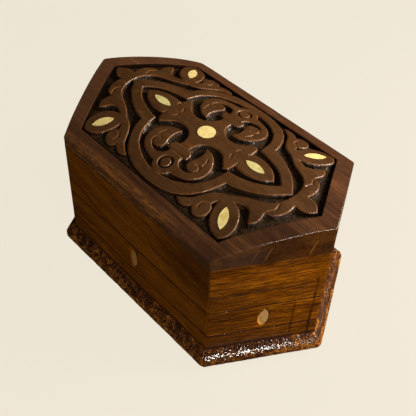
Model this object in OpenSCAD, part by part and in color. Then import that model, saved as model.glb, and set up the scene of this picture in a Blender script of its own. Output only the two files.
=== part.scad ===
// Carved six-sided wooden puzzle box: a long hexagon with a crowned, carved lid.
// A secret strip in the front hides the keyhole, and a second one hides the key.
// Frame: +X towards the right-hand tip, -Y towards the front, +Z up.
// The origin is the middle of the underside. All lengths are millimetres.

/* [Plan] */
// Length of the front and the back side
long_side = 112; // [104:1:124]
// Length of the four short sides
short_side = 57; // [55:0.5:60]
// Thickness of the walls of base and lid
wall_t = 10; // [9.5:0.1:11]

/* [Heights] */
// Thickness of the bottom board
bottom_t = 6; // [4:0.5:8]
// Height of the plinth moulding
plinth_h = 11.5; // [10:0.5:13]
// How far the plinth stands out from the walls
plinth_out = 5.5; // [4:0.5:6]
// Lower seam of the band
band_bottom_z = 22.5; // [22:0.5:23]
// Upper seam of the band
band_top_z = 42; // [41.5:0.5:42.5]
// Height of the seam between base and lid
lid_seam_z = 54; // [54:0.5:56]
// Underside of the carved plank
plank_z = 74.5; // [72:0.5:80]
// Top of the crown along the middle of the lid
crown_z = 91.5; // [90:0.5:96]
// How much lower the plank is along its two long edges
crown_drop = 11; // [9:0.5:12]

/* [Band] */
// Depth of the band's channel in the walls
channel_d = 5.2; // [4.8:0.1:5.4]
// Thickness of the lips that hold the strips in
lip_d = 3; // [2.6:0.1:3.2]
// Height of the tongues behind the lips
tongue_h = 1.5; // [1:0.1:2]
// Clearance round a sliding strip
slide_gap = 0.15; // [0.1:0.05:0.25]
// Travel of the front strip
front_travel = 70; // [66:1:72]
// Travel of the strip over the key
key_travel = 38; // [34:1:38]

/* [Carving] */
// Width of the plain rim
rim_w = 8.5; // [8:0.5:9]
// Depth of the sunk ground
ground_d = 2.8; // [2:0.1:3.5]
// Thickness of the inlays
inlay_t = 1.6; // [1:0.1:2]
// Points made between two points of a carved outline
outline_steps = 2; // [1:1:3]
// How far the carving sits to the right of the middle
carving_x = -0.5; // [-1:0.1:1]
// How far the carving sits behind the middle
carving_y = 0.4; // [-0.4:0.1:0.4]

/* [Hinges and lock] */
// Distance of each hinge from the middle
hinge_x = 32; // [26:1:40]
// Length of a hinge
hinge_l = 18; // [16:1:22]
// Radius of the hinge knuckles
knuckle_r = 2; // [1.8:0.1:2.2]
// Radius of the hinge pins
pin_r = 0.9; // [0.8:0.05:1]
// Travel of the lock's bolt
bolt_travel = 4; // [3.5:0.1:4]

/* [Hidden] */
$fn = 48;
T30 = tan(30);
C30 = cos(30);
half_long = long_side / 2;
half_w = short_side * C30;
tip_x = half_long + short_side / 2;
seam_gap = 0.2;
base_top = lid_seam_z - seam_gap / 2;
lid_bottom = lid_seam_z + seam_gap / 2;
crown_r = (half_w * half_w + crown_drop * crown_drop) / (2 * crown_drop);
mitre_gap = 0.1;
glue_gap = 0.05;
band_z = (band_bottom_z + band_top_z) / 2;
key_z = band_z;

// The sides run anticlockwise from the front one
CORNERS = [[-half_long, -half_w], [half_long, -half_w], [tip_x, 0],
           [half_long, half_w], [-half_long, half_w], [-tip_x, 0]];
FRONT = 0;
FRONT_RIGHT = 1;
BACK_RIGHT = 2;
BACK = 3;
BACK_LEFT = 4;
FRONT_LEFT = 5;

WOOD = [0.36, 0.21, 0.10];
WOOD_LIGHT = [0.56, 0.34, 0.14];
BURL = [0.34, 0.18, 0.09];
PEARL = [0.93, 0.86, 0.60];
EYE_WOOD = [0.72, 0.53, 0.30];
BRASS = [0.80, 0.62, 0.28];
STEEL = [0.62, 0.62, 0.60];

// ---- Plan geometry -------------------------------------------------------

function side_length(i) = i % 3 == 0 ? long_side : short_side;

// Puts children on side i: x along it, y inwards from its outer face
module on_side(i) {
    middle = (CORNERS[i] + CORNERS[(i + 1) % 6]) / 2;
    translate([middle[0], middle[1], 0]) rotate([0, 0, 60 * i]) children();
}

// The box's outline, moved inwards by inset
module hexagon(inset) {
    w = half_w - inset;
    tip = tip_x - inset / C30;
    l = half_long - inset * T30;
    polygon([[-l, -w], [l, -w], [tip, 0], [l, w], [-l, w], [-tip, 0]]);
}

// A board along side i with mitred ends, between two depths and two heights
module mitred_board(i, d0, d1, z0, z1, gap = 0) {
    h = side_length(i) / 2 - gap;
    on_side(i) translate([0, 0, z0]) linear_extrude(z1 - z0)
        polygon([[-h + d0 * T30, d0], [h - d0 * T30, d0],
                 [h - d1 * T30, d1], [-h + d1 * T30, d1]]);
}

module block(x0, x1, y0, y1, z0, z1) {
    translate([x0, y0, z0]) cube([x1 - x0, y1 - y0, z1 - z0]);
}

// A lens with its points on the y axis
module lens(half_l, half_b) {
    r = (half_l * half_l + half_b * half_b) / (2 * half_b);
    intersection() {
        translate([r - half_b, 0]) circle(r, $fn = 96);
        translate([half_b - r, 0]) circle(r, $fn = 96);
    }
}

// ---- Plinth and bottom ---------------------------------------------------

module bottom_board() color(WOOD) linear_extrude(bottom_t) hexagon(0);

module plinth(i) {
    nose_r = 5.9 / 11.5 * plinth_h;
    color(BURL) intersection() {
        mitred_board(i, -plinth_out - 1, 0, 0, plinth_h);
        on_side(i) rotate([90, 0, 90])
            linear_extrude(side_length(i) + 4 * plinth_out, center = true)
                translate([nose_r - plinth_out, plinth_h / 2]) circle(nose_r, $fn = 96);
    }
}

// ---- Walls and band ------------------------------------------------------

// The undercut channel that the band lies in, on side i
module channel(i, left, right) {
    h = side_length(i) / 2;
    on_side(i) {
        block(-h - left, h + right, -1, lip_d, band_bottom_z, band_top_z);
        block(-h - left, h + right, lip_d, channel_d, band_bottom_z - tongue_h, band_top_z + tongue_h);
    }
}

through = 12;
escutcheon_t = 0.8;
screw_hole_r = 0.85;
stop_pin_r = 1;
stop_z = band_bottom_z + 4;
front_stop_x = -30;
key_stop_x = 18;
pocket_x0 = -19;
pocket_x1 = 9;
pocket_h = 12.5;

lock_x = 17;
flange_x = 23;
lock_z0 = band_bottom_z + 3;
lock_z1 = lid_seam_z - 1.7;
lock_d = 8;
lock_screw_x = 20;
lock_screw_zs = [lock_z0 + 4.5, lock_z1 - 4.5];

module stadium(r, half_l) {
    translate([0, -half_l]) circle(r);
    translate([0, half_l]) circle(r);
    translate([-r, -half_l]) square([2 * r, 2 * half_l]);
}

// Depth runs along y, so a flat outline is stood up along z
module stood_up(y0, y1) {
    translate([0, y1, 0]) rotate([90, 0, 0]) linear_extrude(y1 - y0) children();
}

module keyhole_outline(r, slot_w) {
    translate([0, key_z]) circle(r);
    translate([-slot_w / 2, key_z - 6.2]) square([slot_w, 6.2]);
}

module keyhole_cut() {
    on_side(FRONT) {
        stood_up(channel_d - 0.1, wall_t + 1) keyhole_outline(2.1, 2);
        stood_up(channel_d - 0.1, channel_d + escutcheon_t) translate([0, key_z - 1.5]) stadium(4.6, 4.2);
        for (x = [-lock_screw_x, lock_screw_x], z = lock_screw_zs)
            translate([x, wall_t + 1, z]) rotate([90, 0, 0]) cylinder(r = screw_hole_r, h = 5);
    }
}

module stop_hole(i, x) {
    on_side(i) translate([x, wall_t + 1, stop_z]) rotate([90, 0, 0]) cylinder(r = stop_pin_r, h = wall_t);
}

module key_pocket_cut() {
    on_side(FRONT_RIGHT)
        block(pocket_x0, pocket_x1, channel_d - 1, wall_t + 1, key_z - pocket_h / 2, key_z + pocket_h / 2);
}

// The back edges are bevelled about the hinge axis, which stops the lid when it is open
hinge_in = 2.5;
axis_y = half_w - hinge_in;
open_angle = 100;
bevel = open_angle / 2 + 1;

module back_bevel(up) {
    reach = hinge_in + 3;
    translate([-half_long - 10, 0, 0]) rotate([90, 0, 90]) linear_extrude(long_side + 20)
        polygon([[axis_y, lid_seam_z], [axis_y + reach, lid_seam_z],
                 [axis_y + reach, lid_seam_z + up * reach * tan(bevel)]]);
}

leaf_t = 0.9;
leaf_in = 7;
leaf_clear = 0.4;
knuckle_gap = 0.3;
centre_l = hinge_l * 0.36;
hinge_screw_x = hinge_l * 0.3;
hinge_screw_y = axis_y - 4.8;
hinge_screw_r = 0.8;
hinge_screw_l = 7;
screw_head_h = 0.8;

// Room for the hinges' knuckles, leaves and screws; up is -1 in the base and 1 in the lid
module hinge_mortises(up) {
    for (x = [-hinge_x, hinge_x]) translate([x, 0, lid_seam_z]) {
        translate([-hinge_l / 2 - knuckle_gap, axis_y, 0]) rotate([0, 90, 0])
            cylinder(r = knuckle_r + 0.25, h = hinge_l + 2 * knuckle_gap);
        scale_z(up) block(-hinge_l / 2, hinge_l / 2, axis_y - leaf_in, axis_y, -0.1, seam_gap / 2 + leaf_t);
        for (sx = [-hinge_screw_x, hinge_screw_x])
            scale_z(up) translate([sx, hinge_screw_y, 0]) cylinder(r = hinge_screw_r, h = hinge_screw_l);
    }
}

// Turns children upside down about z = 0 when up is -1
module scale_z(up) {
    if (up > 0) children();
    else mirror([0, 0, 1]) children();
}

module base_wall(i) {
    color(i == FRONT || i == BACK ? WOOD : WOOD_LIGHT) difference() {
        mitred_board(i, 0, wall_t, bottom_t, base_top);
        channel(i, 1, 1);
        if (i == FRONT_LEFT) channel(FRONT, through, 0);
        if (i == BACK_RIGHT) channel(FRONT_RIGHT, 0, through);
        if (i == FRONT) {
            keyhole_cut();
            stop_hole(FRONT, front_stop_x);
        }
        if (i == FRONT_RIGHT) {
            key_pocket_cut();
            stop_hole(FRONT_RIGHT, key_stop_x);
        }
        if (i == BACK) hinge_mortises(-1);
        if (i >= BACK_RIGHT && i <= BACK_LEFT) back_bevel(-1);
    }
}

// How far an end of a band lies from the side's middle, at the depth d
function mitre_end(i, d) = side_length(i) / 2 - mitre_gap - d * T30;
function through_end(i, d) = side_length(i) / 2 + d * T30;
function butt_end(i, d) = side_length(i) / 2 - channel_d / C30 + d * T30;
function right_end(i, d) = i == FRONT_RIGHT ? through_end(i, d)
    : i == FRONT_LEFT ? butt_end(i, d) : mitre_end(i, d);
function left_end(i, d) = i == FRONT ? through_end(i, d)
    : i == BACK_RIGHT ? butt_end(i, d) : mitre_end(i, d);

module band_layer(i, d0, d1, z0, z1) {
    translate([0, 0, z0]) linear_extrude(z1 - z0)
        polygon([[-left_end(i, d0), d0], [right_end(i, d0), d0],
                 [right_end(i, d1), d1], [-left_end(i, d1), d1]]);
}

eye_half_l = 6.7;
eye_half_b = 2.4;
eye_t = 1.5;

module stop_slot(x0, x1) {
    depth = 1.9;
    side = stop_pin_r + slide_gap;
    block(x0 - side, x1 + side, channel_d - slide_gap - depth, channel_d + 1, stop_z - side, stop_z + side);
}

module band(i) {
    slides = i == FRONT || i == FRONT_RIGHT;
    back = slides ? channel_d - slide_gap : channel_d;
    color(i == FRONT || i == BACK ? WOOD : WOOD_LIGHT) on_side(i) difference() {
        union() {
            band_layer(i, 0, back, band_bottom_z + slide_gap, band_top_z - slide_gap);
            band_layer(i, lip_d + slide_gap, back,
                       band_bottom_z - tongue_h + slide_gap, band_top_z + tongue_h - slide_gap);
        }
        stood_up(-1, eye_t) translate([0, band_z]) lens(eye_half_l, eye_half_b);
        if (i == FRONT) stop_slot(front_stop_x, front_stop_x + front_travel);
        if (i == FRONT_RIGHT) stop_slot(key_stop_x - key_travel, key_stop_x);
    }
}

module eye(i) color(EYE_WOOD) on_side(i) stood_up(0, eye_t)
    translate([0, band_z]) lens(eye_half_l - glue_gap, eye_half_b - glue_gap);

// ---- Key, pocket and stops -----------------------------------------------

module key_pocket_back() color(WOOD) on_side(FRONT_RIGHT)
    block(pocket_x0 - 1.5, pocket_x1 + 4, wall_t, wall_t + 3, key_z - pocket_h / 2 - 3, key_z + pocket_h / 2 + 3);

key_shank_r = 1.4;
key_reach = 5.6;
key_tip_x = pocket_x1 - 2;

module key() {
    bow_x = pocket_x0 + 6;
    shank_d = wall_t - key_shank_r - 0.05;
    color(BRASS) on_side(FRONT_RIGHT) translate([0, shank_d, key_z]) difference() {
        union() {
            rotate([90, 0, 0]) translate([bow_x, 0, -0.9]) cylinder(r = 5.2, h = 1.8);
            translate([bow_x + 4, 0, 0]) rotate([0, 90, 0]) cylinder(r = key_shank_r, h = key_tip_x - bow_x - 4);
            translate([bow_x + 5.5, 0, 0]) rotate([0, 90, 0]) cylinder(r = 1.45 * key_shank_r - 0.7, h = 1.2);
            block(key_tip_x - 4, key_tip_x, -0.55, 0.55, -key_reach, 0);
        }
        rotate([90, 0, 0]) translate([bow_x - 0.4, 0, -2]) cylinder(r = 3, h = 4);
        translate([key_tip_x - 6, 0, 0]) rotate([0, 90, 0]) cylinder(r = 0.75, h = 7);
        block(key_tip_x - 2.5, key_tip_x - 1.6, -1, 1, -key_reach - 1, -key_reach + 1.8);
    }
}

module stop_pin(i, x) on_side(i) translate([x, wall_t - 0.4, stop_z]) rotate([90, 0, 0])
    cylinder(r = stop_pin_r, h = wall_t - 0.4 - (channel_d - 1.7));

module strip_stop_pins() color(BRASS) {
    stop_pin(FRONT, front_stop_x);
    stop_pin(FRONT_RIGHT, key_stop_x);
}

module keyhole_escutcheon() color(BRASS) on_side(FRONT)
    stood_up(channel_d, channel_d + escutcheon_t) difference() {
        translate([0, key_z - 1.5]) stadium(4.6 - glue_gap, 4.2);
        keyhole_outline(1.8, 1.6);
    }

// ---- Lock ----------------------------------------------------------------

plate_t = 1;
loop_x = 8;
loop_t = 1.2;
bolt_d = wall_t + 4;
bolt_t = 2.4;
finger_r = 1.3;
finger_z = lid_seam_z - 5.7;
bar_z0 = key_z + 4.8;
bar_z1 = bar_z0 + 3.6;
arm_w = 2.4;
finger_clear = 0.5;

module lock_case() {
    color(BRASS) on_side(FRONT) difference() {
        union() {
            block(-flange_x, flange_x, wall_t, wall_t + plate_t, lock_z0, lock_z1);
            block(-lock_x, lock_x, wall_t, wall_t + lock_d, lock_z0, lock_z1);
        }
        block(-lock_x + plate_t, lock_x - plate_t, wall_t - 1, wall_t + lock_d - plate_t,
              lock_z0 + plate_t, lock_z1 - plate_t);
        for (x = [-loop_x, loop_x])
            block(x - 1.5, x + 1.5, wall_t + 1, wall_t + 6.8, lock_z1 - 2, lock_z1 + 1);
        for (x = [-lock_screw_x, lock_screw_x], z = lock_screw_zs)
            translate([x, wall_t + 2, z]) rotate([90, 0, 0]) cylinder(r = screw_hole_r, h = 3);
        translate([0, wall_t + lock_d + 1, key_z]) rotate([90, 0, 0]) cylinder(r = 0.7, h = 3);
    }
}

// A finger with the arm that carries it; its tip stops short of the loop at x
module bolt_finger(x) {
    tip = x - loop_t / 2 - finger_clear;
    translate([tip - bolt_travel - arm_w / 2, bolt_d, finger_z]) rotate([0, 90, 0])
        cylinder(r = finger_r, h = bolt_travel + arm_w / 2);
    block(tip - bolt_travel - arm_w, tip - bolt_travel, bolt_d - bolt_t / 2, bolt_d + bolt_t / 2,
          bar_z1 - 1, finger_z + 1.5);
}

module lock_bolt() {
    left = -loop_x - loop_t / 2 - finger_clear - bolt_travel - arm_w;
    color(BRASS) on_side(FRONT) {
        difference() {
            block(left, 6.5, bolt_d - bolt_t / 2, bolt_d + bolt_t / 2, bar_z0, bar_z1);
            block(-3.6, 0, bolt_d - bolt_t, bolt_d + bolt_t, bar_z0 - 1, bar_z0 + 1.3);
        }
        bolt_finger(-loop_x);
        bolt_finger(loop_x);
    }
}

module lock_spring() {
    foot = [-12.5, lock_z0 + 4];
    color(STEEL) on_side(FRONT) {
        stood_up(bolt_d - 1, bolt_d + 1) polygon([foot, foot + [0.5, -0.4], [-9.8, bar_z0 - 1.2],
            [-7, bar_z0 - 0.65], [-7, bar_z0 - 0.15], [-10.2, bar_z0 - 0.7]]);
        translate([foot[0], wall_t + lock_d - plate_t, foot[1] - 0.6]) rotate([90, 0, 0]) cylinder(r = 1, h = 6);
    }
}

module lock_drill_pin() color(STEEL) on_side(FRONT)
    translate([0, wall_t + lock_d, key_z]) rotate([90, 0, 0]) cylinder(r = 0.7, h = lock_d + 2);

// A countersunk screw along +z whose head lies flush with z = 0
module screw(length) {
    cylinder(r = hinge_screw_r, h = length);
    cylinder(r1 = hinge_screw_r + screw_head_h, r2 = hinge_screw_r, h = screw_head_h);
}

// The hole for it in a plate of brass, a little wider than the head
module countersunk_hole() {
    cylinder(r = hinge_screw_r, h = 3);
    translate([0, 0, -0.1])
        cylinder(r1 = hinge_screw_r + screw_head_h + 0.12, r2 = hinge_screw_r + 0.02, h = screw_head_h + 0.1);
}

module lock_screws() color(BRASS) on_side(FRONT) for (x = [-lock_screw_x, lock_screw_x], z = lock_screw_zs)
    translate([x, wall_t + plate_t, z]) rotate([-90, 0, 0]) {
        translate([0, 0, -plate_t - 3.8]) cylinder(r = screw_hole_r, h = plate_t + 3.8);
        cylinder(r = 1.6, h = 0.8);
    }

// ---- Hinges --------------------------------------------------------------

module knuckle(x0, x1) translate([x0, axis_y, 0]) rotate([0, 90, 0]) cylinder(r = knuckle_r, h = x1 - x0);

module leaf_tab(x0, x1) block(x0, x1, axis_y - leaf_in + 1, axis_y, seam_gap / 2, seam_gap / 2 + leaf_t);

// One leaf of a hinge; up is -1 for the one in the base, which carries the two outer knuckles
module hinge_leaf(x, up) {
    inner = centre_l / 2;
    outer = hinge_l / 2;
    bore = up > 0 ? pin_r + 0.05 : pin_r;
    color(BRASS) translate([x, 0, lid_seam_z]) scale_z(up) difference() {
        union() {
            block(-outer, outer, axis_y - leaf_in, axis_y - knuckle_r - leaf_clear,
                  seam_gap / 2, seam_gap / 2 + leaf_t);
            if (up > 0) {
                knuckle(-inner, inner);
                leaf_tab(-inner, inner);
            } else for (s = [-1, 1]) {
                a = min(s * (inner + knuckle_gap), s * outer);
                b = max(s * (inner + knuckle_gap), s * outer);
                knuckle(a, b);
                leaf_tab(a, b);
            }
        }
        translate([-outer - 1, axis_y, 0]) rotate([0, 90, 0]) cylinder(r = bore, h = hinge_l + 2);
        for (sx = [-hinge_screw_x, hinge_screw_x])
            translate([sx, hinge_screw_y, seam_gap / 2]) countersunk_hole();
    }
}

module hinge_pin(x) color(STEEL) translate([x - hinge_l / 2, axis_y, lid_seam_z]) rotate([0, 90, 0])
    cylinder(r = pin_r, h = hinge_l);

module hinge_screws(up) color(BRASS) for (x = [-hinge_x, hinge_x], sx = [-hinge_screw_x, hinge_screw_x])
    translate([x + sx, hinge_screw_y, lid_seam_z]) scale_z(up) translate([0, 0, seam_gap / 2])
        screw(hinge_screw_l - 1);

// ---- Lid -----------------------------------------------------------------

strike_half_x = 13;
strike_d0 = 3;
strike_screw_x = 9.5;
strike_screw_d = 6.5;
strike_screw_l = 7;

module lid_wall(i) {
    color(i == FRONT || i == BACK ? WOOD : WOOD_LIGHT) difference() {
        mitred_board(i, 0, wall_t, lid_bottom, plank_z);
        if (i == FRONT) on_side(FRONT) {
            block(-strike_half_x, strike_half_x, strike_d0, wall_t + 1, lid_bottom - 1, lid_bottom + plate_t);
            for (x = [-strike_screw_x, strike_screw_x]) translate([x, strike_screw_d, lid_bottom])
                cylinder(r = hinge_screw_r, h = strike_screw_l);
        }
        if (i == BACK) hinge_mortises(1);
        if (i >= BACK_RIGHT && i <= BACK_LEFT) back_bevel(1);
    }
}

// The solid under the crowned top, sunk by d
module under_crown(d) translate([-tip_x - 10, 0, crown_z - crown_r]) rotate([0, 90, 0])
    cylinder(r = crown_r - d, h = 2 * tip_x + 20, $fn = 360);

// An outline cut down from the crowned top to the depth d
module crown_cut(d) difference() {
    translate([0, 0, plank_z]) linear_extrude(crown_z - plank_z + 2) children();
    under_crown(d);
}

// Smooth curve through the points p, without its last point
function curve_point(a, b, c, d, t) = 0.5 * (2 * b + (c - a) * t
    + (2 * a - 5 * b + 4 * c - d) * t * t + (3 * b - a - 3 * c + d) * t * t * t);
function curve(p) = [for (i = [0:len(p) - 2], k = [0:outline_steps - 1])
    curve_point(i > 0 ? p[i - 1] : 2 * p[0] - p[1], p[i], p[i + 1],
                i < len(p) - 2 ? p[i + 2] : 2 * p[i + 1] - p[i], k / outline_steps)];
// Curves that follow on from each other, with a corner where they meet
function outline(curves) = concat([for (c = curves) each curve(c)],
                                  [curves[len(curves) - 1][len(curves[len(curves) - 1]) - 1]]);
function backwards(p) = [for (i = [len(p) - 1:-1:0]) p[i]];
function flip_x(p) = [for (q = p) [-q[0], q[1]]];
function flip_y(p) = [for (q = p) [q[0], -q[1]]];
function drop_ends(p) = [for (i = [1:len(p) - 2]) p[i]];
// A half outline from the y axis to the y axis, and from the x axis to the x axis, closed
function close_over_x(p) = concat(p, drop_ends(backwards(flip_x(p))));
function close_over_y(p) = concat(p, drop_ends(backwards(flip_y(p))));
// A quarter outline from the y axis to the x axis, closed
function close_quarter(p) = let (h = concat(p, [for (i = [len(p) - 2:-1:0]) flip_y(p)[i]])) close_over_x(h);

RIBBON_OUTER = close_quarter(outline([
    [[0, 39.5], [10.4, 38.6], [20, 35], [27, 27.8], [30.2, 21], [31.3, 16.8]],
    [[31.3, 16.8], [37, 15.5], [45.4, 11.6], [52, 6.6], [57.6, 0]]]));
RIBBON_INNER = close_quarter(outline([
    [[0, 34], [10.4, 32.6], [20.3, 27], [25.3, 19], [26.6, 11]],
    [[26.6, 11], [31, 10.4], [40.4, 7.6], [46, 4.1], [50.1, 0]]]));
CROSS = close_quarter(outline([
    [[0, 17], [3.2, 17]],
    [[3.2, 17], [3.2, 12], [5, 8], [8.4, 5.5], [12.6, 4.6], [16.8, 5.6], [20, 8.5], [23.4, 11.6]],
    [[23.4, 11.6], [25.6, 10], [26.3, 6.5]],
    [[26.3, 6.5], [33, 6.9], [39.4, 5.3], [43.5, 2.7], [46, 0]]]));
CROSSBAR = close_over_x(outline([
    [[0, 14.8], [3.4, 14.8]],
    [[3.4, 14.8], [5.8, 15.6], [7.1, 17.8], [6.6, 20.1]],
    [[6.6, 20.1], [0, 20.1]]]));
SCROLLS = close_over_x(outline([
    [[0, 19], [4.4, 19]],
    [[4.4, 19], [4.8, 22.5], [7, 24.9], [10.4, 25.6], [13.8, 24.3], [15.6, 22.5]],
    [[15.6, 22.5], [12.6, 23.6], [9.4, 22.4], [8.6, 19.8], [10, 16], [10.2, 11.5], [8.8, 8.3]],
    [[8.8, 8.3], [13.4, 8.8], [18.2, 12.4], [21, 18], [20, 23.4], [16, 27.6], [10, 29.5], [6.3, 30.2]],
    [[6.3, 30.2], [4.4, 32.8], [0, 34.5]]]));
CORNER_LEAF = outline([
    [[36.4, 21.4], [32, 23.6], [28.4, 27.8], [25.4, 32.4], [22, 35], [18.6, 36.9]],
    [[18.6, 36.9], [22, 38.2], [25.6, 37.8], [28.2, 36.1]],
    [[28.2, 36.1], [30.6, 38.2], [34.6, 38], [37.3, 34.8], [36.8, 31.2], [34.6, 29.4]],
    [[34.6, 29.4], [36.2, 26.2]],
    [[36.2, 26.2], [37.2, 30.8], [40, 36], [44.5, 39], [50, 39.8]],
    [[50, 39.8], [52.6, 37], [53, 32.8], [51, 27.6], [46.6, 23.3], [40.6, 21.6], [36.6, 21.6]]]);
END_ARCH = close_over_y(outline([
    [[58.4, 0], [57.8, 5], [55, 10.4], [50.4, 13.6], [44.4, 16.2], [39.6, 19.4], [36.2, 22]],
    [[36.2, 22], [40.5, 22.2], [44.5, 21], [48, 20], [51.2, 21.8], [53.4, 25], [55.2, 26.3]],
    [[55.2, 26.3], [57.4, 23.4], [57.6, 20], [56.6, 17]],
    [[56.6, 17], [60.4, 15.8], [63.2, 11.5], [63.8, 7.4], [63.2, 4.4]],
    [[63.2, 4.4], [67.4, 4.3], [70.6, 2.5], [72.6, 0]]]));
BOSS = [0, 27.2];

module relief() {
    difference() {
        polygon(RIBBON_OUTER);
        polygon(RIBBON_INNER);
    }
    polygon(CROSS);
    for (s = [-1, 1]) {
        polygon(s > 0 ? CROSSBAR : flip_y(CROSSBAR));
        difference() {
            polygon(s > 0 ? SCROLLS : flip_y(SCROLLS));
            translate([0, s * BOSS[1]]) difference() {
                circle(3.8);
                circle(2.9);
            }
        }
        polygon(s > 0 ? END_ARCH : flip_x(END_ARCH));
        polygon(s > 0 ? CORNER_LEAF : flip_x(CORNER_LEAF));
        polygon(s > 0 ? flip_y(CORNER_LEAF) : flip_x(flip_y(CORNER_LEAF)));
    }
}

disc_r = 4.7;
axis_eye_x = 33.7;
axis_eye = [6.2, 2.3];
corner_eye_at = [44.8, 31.4];
corner_eye = [5.9, 2.4];
corner_eye_angle = 32;

// The outlines of the inlays, made smaller all round by gap
module disc_outline(gap) translate([carving_x, carving_y]) circle(disc_r - gap);
module axis_outline(s, gap) translate([carving_x + s * axis_eye_x, carving_y]) rotate(90)
    lens(axis_eye[0] - gap, axis_eye[1] - gap);
module corner_outline(sx, sy, gap)
    translate([carving_x + sx * corner_eye_at[0], carving_y + sy * corner_eye_at[1]])
        rotate(-sx * sy * corner_eye_angle) lens(corner_eye[0] - gap, corner_eye[1] - gap);

module lid_plank() {
    color(WOOD) difference() {
        intersection() {
            translate([0, 0, plank_z]) linear_extrude(crown_z - plank_z + 1) hexagon(0);
            under_crown(0);
        }
        crown_cut(ground_d) difference() {
            hexagon(rim_w);
            translate([carving_x, carving_y]) relief();
        }
        crown_cut(inlay_t) disc_outline(0);
        for (s = [-1, 1]) {
            crown_cut(inlay_t) axis_outline(s, 0);
            crown_cut(inlay_t) corner_outline(s, 1, 0);
            crown_cut(inlay_t) corner_outline(s, -1, 0);
        }
    }
}

module inlay() color(PEARL) intersection() {
    crown_cut(inlay_t) children();
    under_crown(0);
}

module strike_plate() {
    color(BRASS) on_side(FRONT) difference() {
        union() {
            block(-strike_half_x, strike_half_x, strike_d0, wall_t + 6.6, lid_bottom, lid_bottom + plate_t);
            for (x = [-loop_x, loop_x])
                block(x - loop_t / 2, x + loop_t / 2, bolt_d - 2.2, bolt_d + 2.2, finger_z - 3, lid_bottom + 0.5);
        }
        translate([-loop_x - 2, bolt_d, finger_z]) rotate([0, 90, 0]) cylinder(r = 1.75, h = 2 * loop_x + 4);
        for (x = [-strike_screw_x, strike_screw_x])
            translate([x, strike_screw_d, lid_bottom]) countersunk_hole();
    }
}

module strike_screws() color(BRASS) on_side(FRONT) for (x = [-strike_screw_x, strike_screw_x])
    translate([x, strike_screw_d, lid_bottom]) screw(strike_screw_l - 0.5);

// ---- Nodes ---------------------------------------------------------------

bottom_board();
plinth(FRONT);  // plinth_front
plinth(FRONT_RIGHT);  // plinth_front_right
plinth(BACK_RIGHT);  // plinth_back_right
plinth(BACK);  // plinth_back
plinth(BACK_LEFT);  // plinth_back_left
plinth(FRONT_LEFT);  // plinth_front_left
base_wall(FRONT);  // base_wall_front
base_wall(FRONT_RIGHT);  // base_wall_front_right
base_wall(BACK_RIGHT);  // base_wall_back_right
base_wall(BACK);  // base_wall_back
base_wall(BACK_LEFT);  // base_wall_back_left
base_wall(FRONT_LEFT);  // base_wall_front_left
band(FRONT);  // band_front
band(FRONT_RIGHT);  // band_front_right
band(BACK_RIGHT);  // band_back_right
band(BACK);  // band_back
band(BACK_LEFT);  // band_back_left
band(FRONT_LEFT);  // band_front_left
eye(FRONT);  // eye_front
eye(FRONT_RIGHT);  // eye_front_right
eye(BACK_RIGHT);  // eye_back_right
eye(BACK);  // eye_back
eye(BACK_LEFT);  // eye_back_left
eye(FRONT_LEFT);  // eye_front_left
key_pocket_back();
key();
strip_stop_pins();
keyhole_escutcheon();
lock_case();
lock_bolt();
lock_spring();
lock_drill_pin();
lock_screws();
hinge_leaf(-hinge_x, -1);  // hinge_base_leaf_left
hinge_leaf(hinge_x, -1);  // hinge_base_leaf_right
hinge_leaf(-hinge_x, 1);  // hinge_lid_leaf_left
hinge_leaf(hinge_x, 1);  // hinge_lid_leaf_right
hinge_pin(-hinge_x);  // hinge_pin_left
hinge_pin(hinge_x);  // hinge_pin_right
hinge_screws(-1);  // hinge_base_screws
hinge_screws(1);  // hinge_lid_screws
lid_wall(FRONT);  // lid_wall_front
lid_wall(FRONT_RIGHT);  // lid_wall_front_right
lid_wall(BACK_RIGHT);  // lid_wall_back_right
lid_wall(BACK);  // lid_wall_back
lid_wall(BACK_LEFT);  // lid_wall_back_left
lid_wall(FRONT_LEFT);  // lid_wall_front_left
lid_plank();
inlay() disc_outline(glue_gap);  // centre_inlay
inlay() axis_outline(-1, glue_gap);  // axis_inlay_left
inlay() axis_outline(1, glue_gap);  // axis_inlay_right
inlay() corner_outline(1, -1, glue_gap);  // corner_inlay_front_right
inlay() corner_outline(1, 1, glue_gap);  // corner_inlay_back_right
inlay() corner_outline(-1, 1, glue_gap);  // corner_inlay_back_left
inlay() corner_outline(-1, -1, glue_gap);  // corner_inlay_front_left
strike_plate();
strike_screws();
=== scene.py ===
import math

import bmesh
import bpy
import numpy as np
from mathutils import Matrix, Vector


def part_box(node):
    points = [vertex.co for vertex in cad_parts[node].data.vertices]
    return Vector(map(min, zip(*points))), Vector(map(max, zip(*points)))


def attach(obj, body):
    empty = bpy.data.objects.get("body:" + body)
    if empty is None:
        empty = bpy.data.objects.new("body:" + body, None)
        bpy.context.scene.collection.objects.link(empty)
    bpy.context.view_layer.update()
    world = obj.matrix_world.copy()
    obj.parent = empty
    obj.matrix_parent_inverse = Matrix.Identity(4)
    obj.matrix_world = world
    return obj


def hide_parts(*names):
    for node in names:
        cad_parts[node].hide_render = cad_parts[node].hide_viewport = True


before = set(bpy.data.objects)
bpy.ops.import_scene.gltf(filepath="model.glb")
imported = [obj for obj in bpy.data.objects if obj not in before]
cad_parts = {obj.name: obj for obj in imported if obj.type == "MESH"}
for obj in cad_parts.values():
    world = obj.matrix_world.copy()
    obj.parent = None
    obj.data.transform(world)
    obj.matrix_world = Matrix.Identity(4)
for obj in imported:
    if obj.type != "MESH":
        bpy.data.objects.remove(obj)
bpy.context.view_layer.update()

# Lengths in this script are millimetres in the row frame until a mesh is made.
MM = 0.001
# How far the visual faces stay inside the CAD's
SKIN = 0.02
T30, C30, S60 = math.tan(math.radians(30)), math.cos(math.radians(30)), math.sin(math.radians(60))

# ---- Sizes read from the frame ---------------------------------------------

SIDES = ["front", "front_right", "back_right", "back", "back_left", "front_left"]


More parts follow.
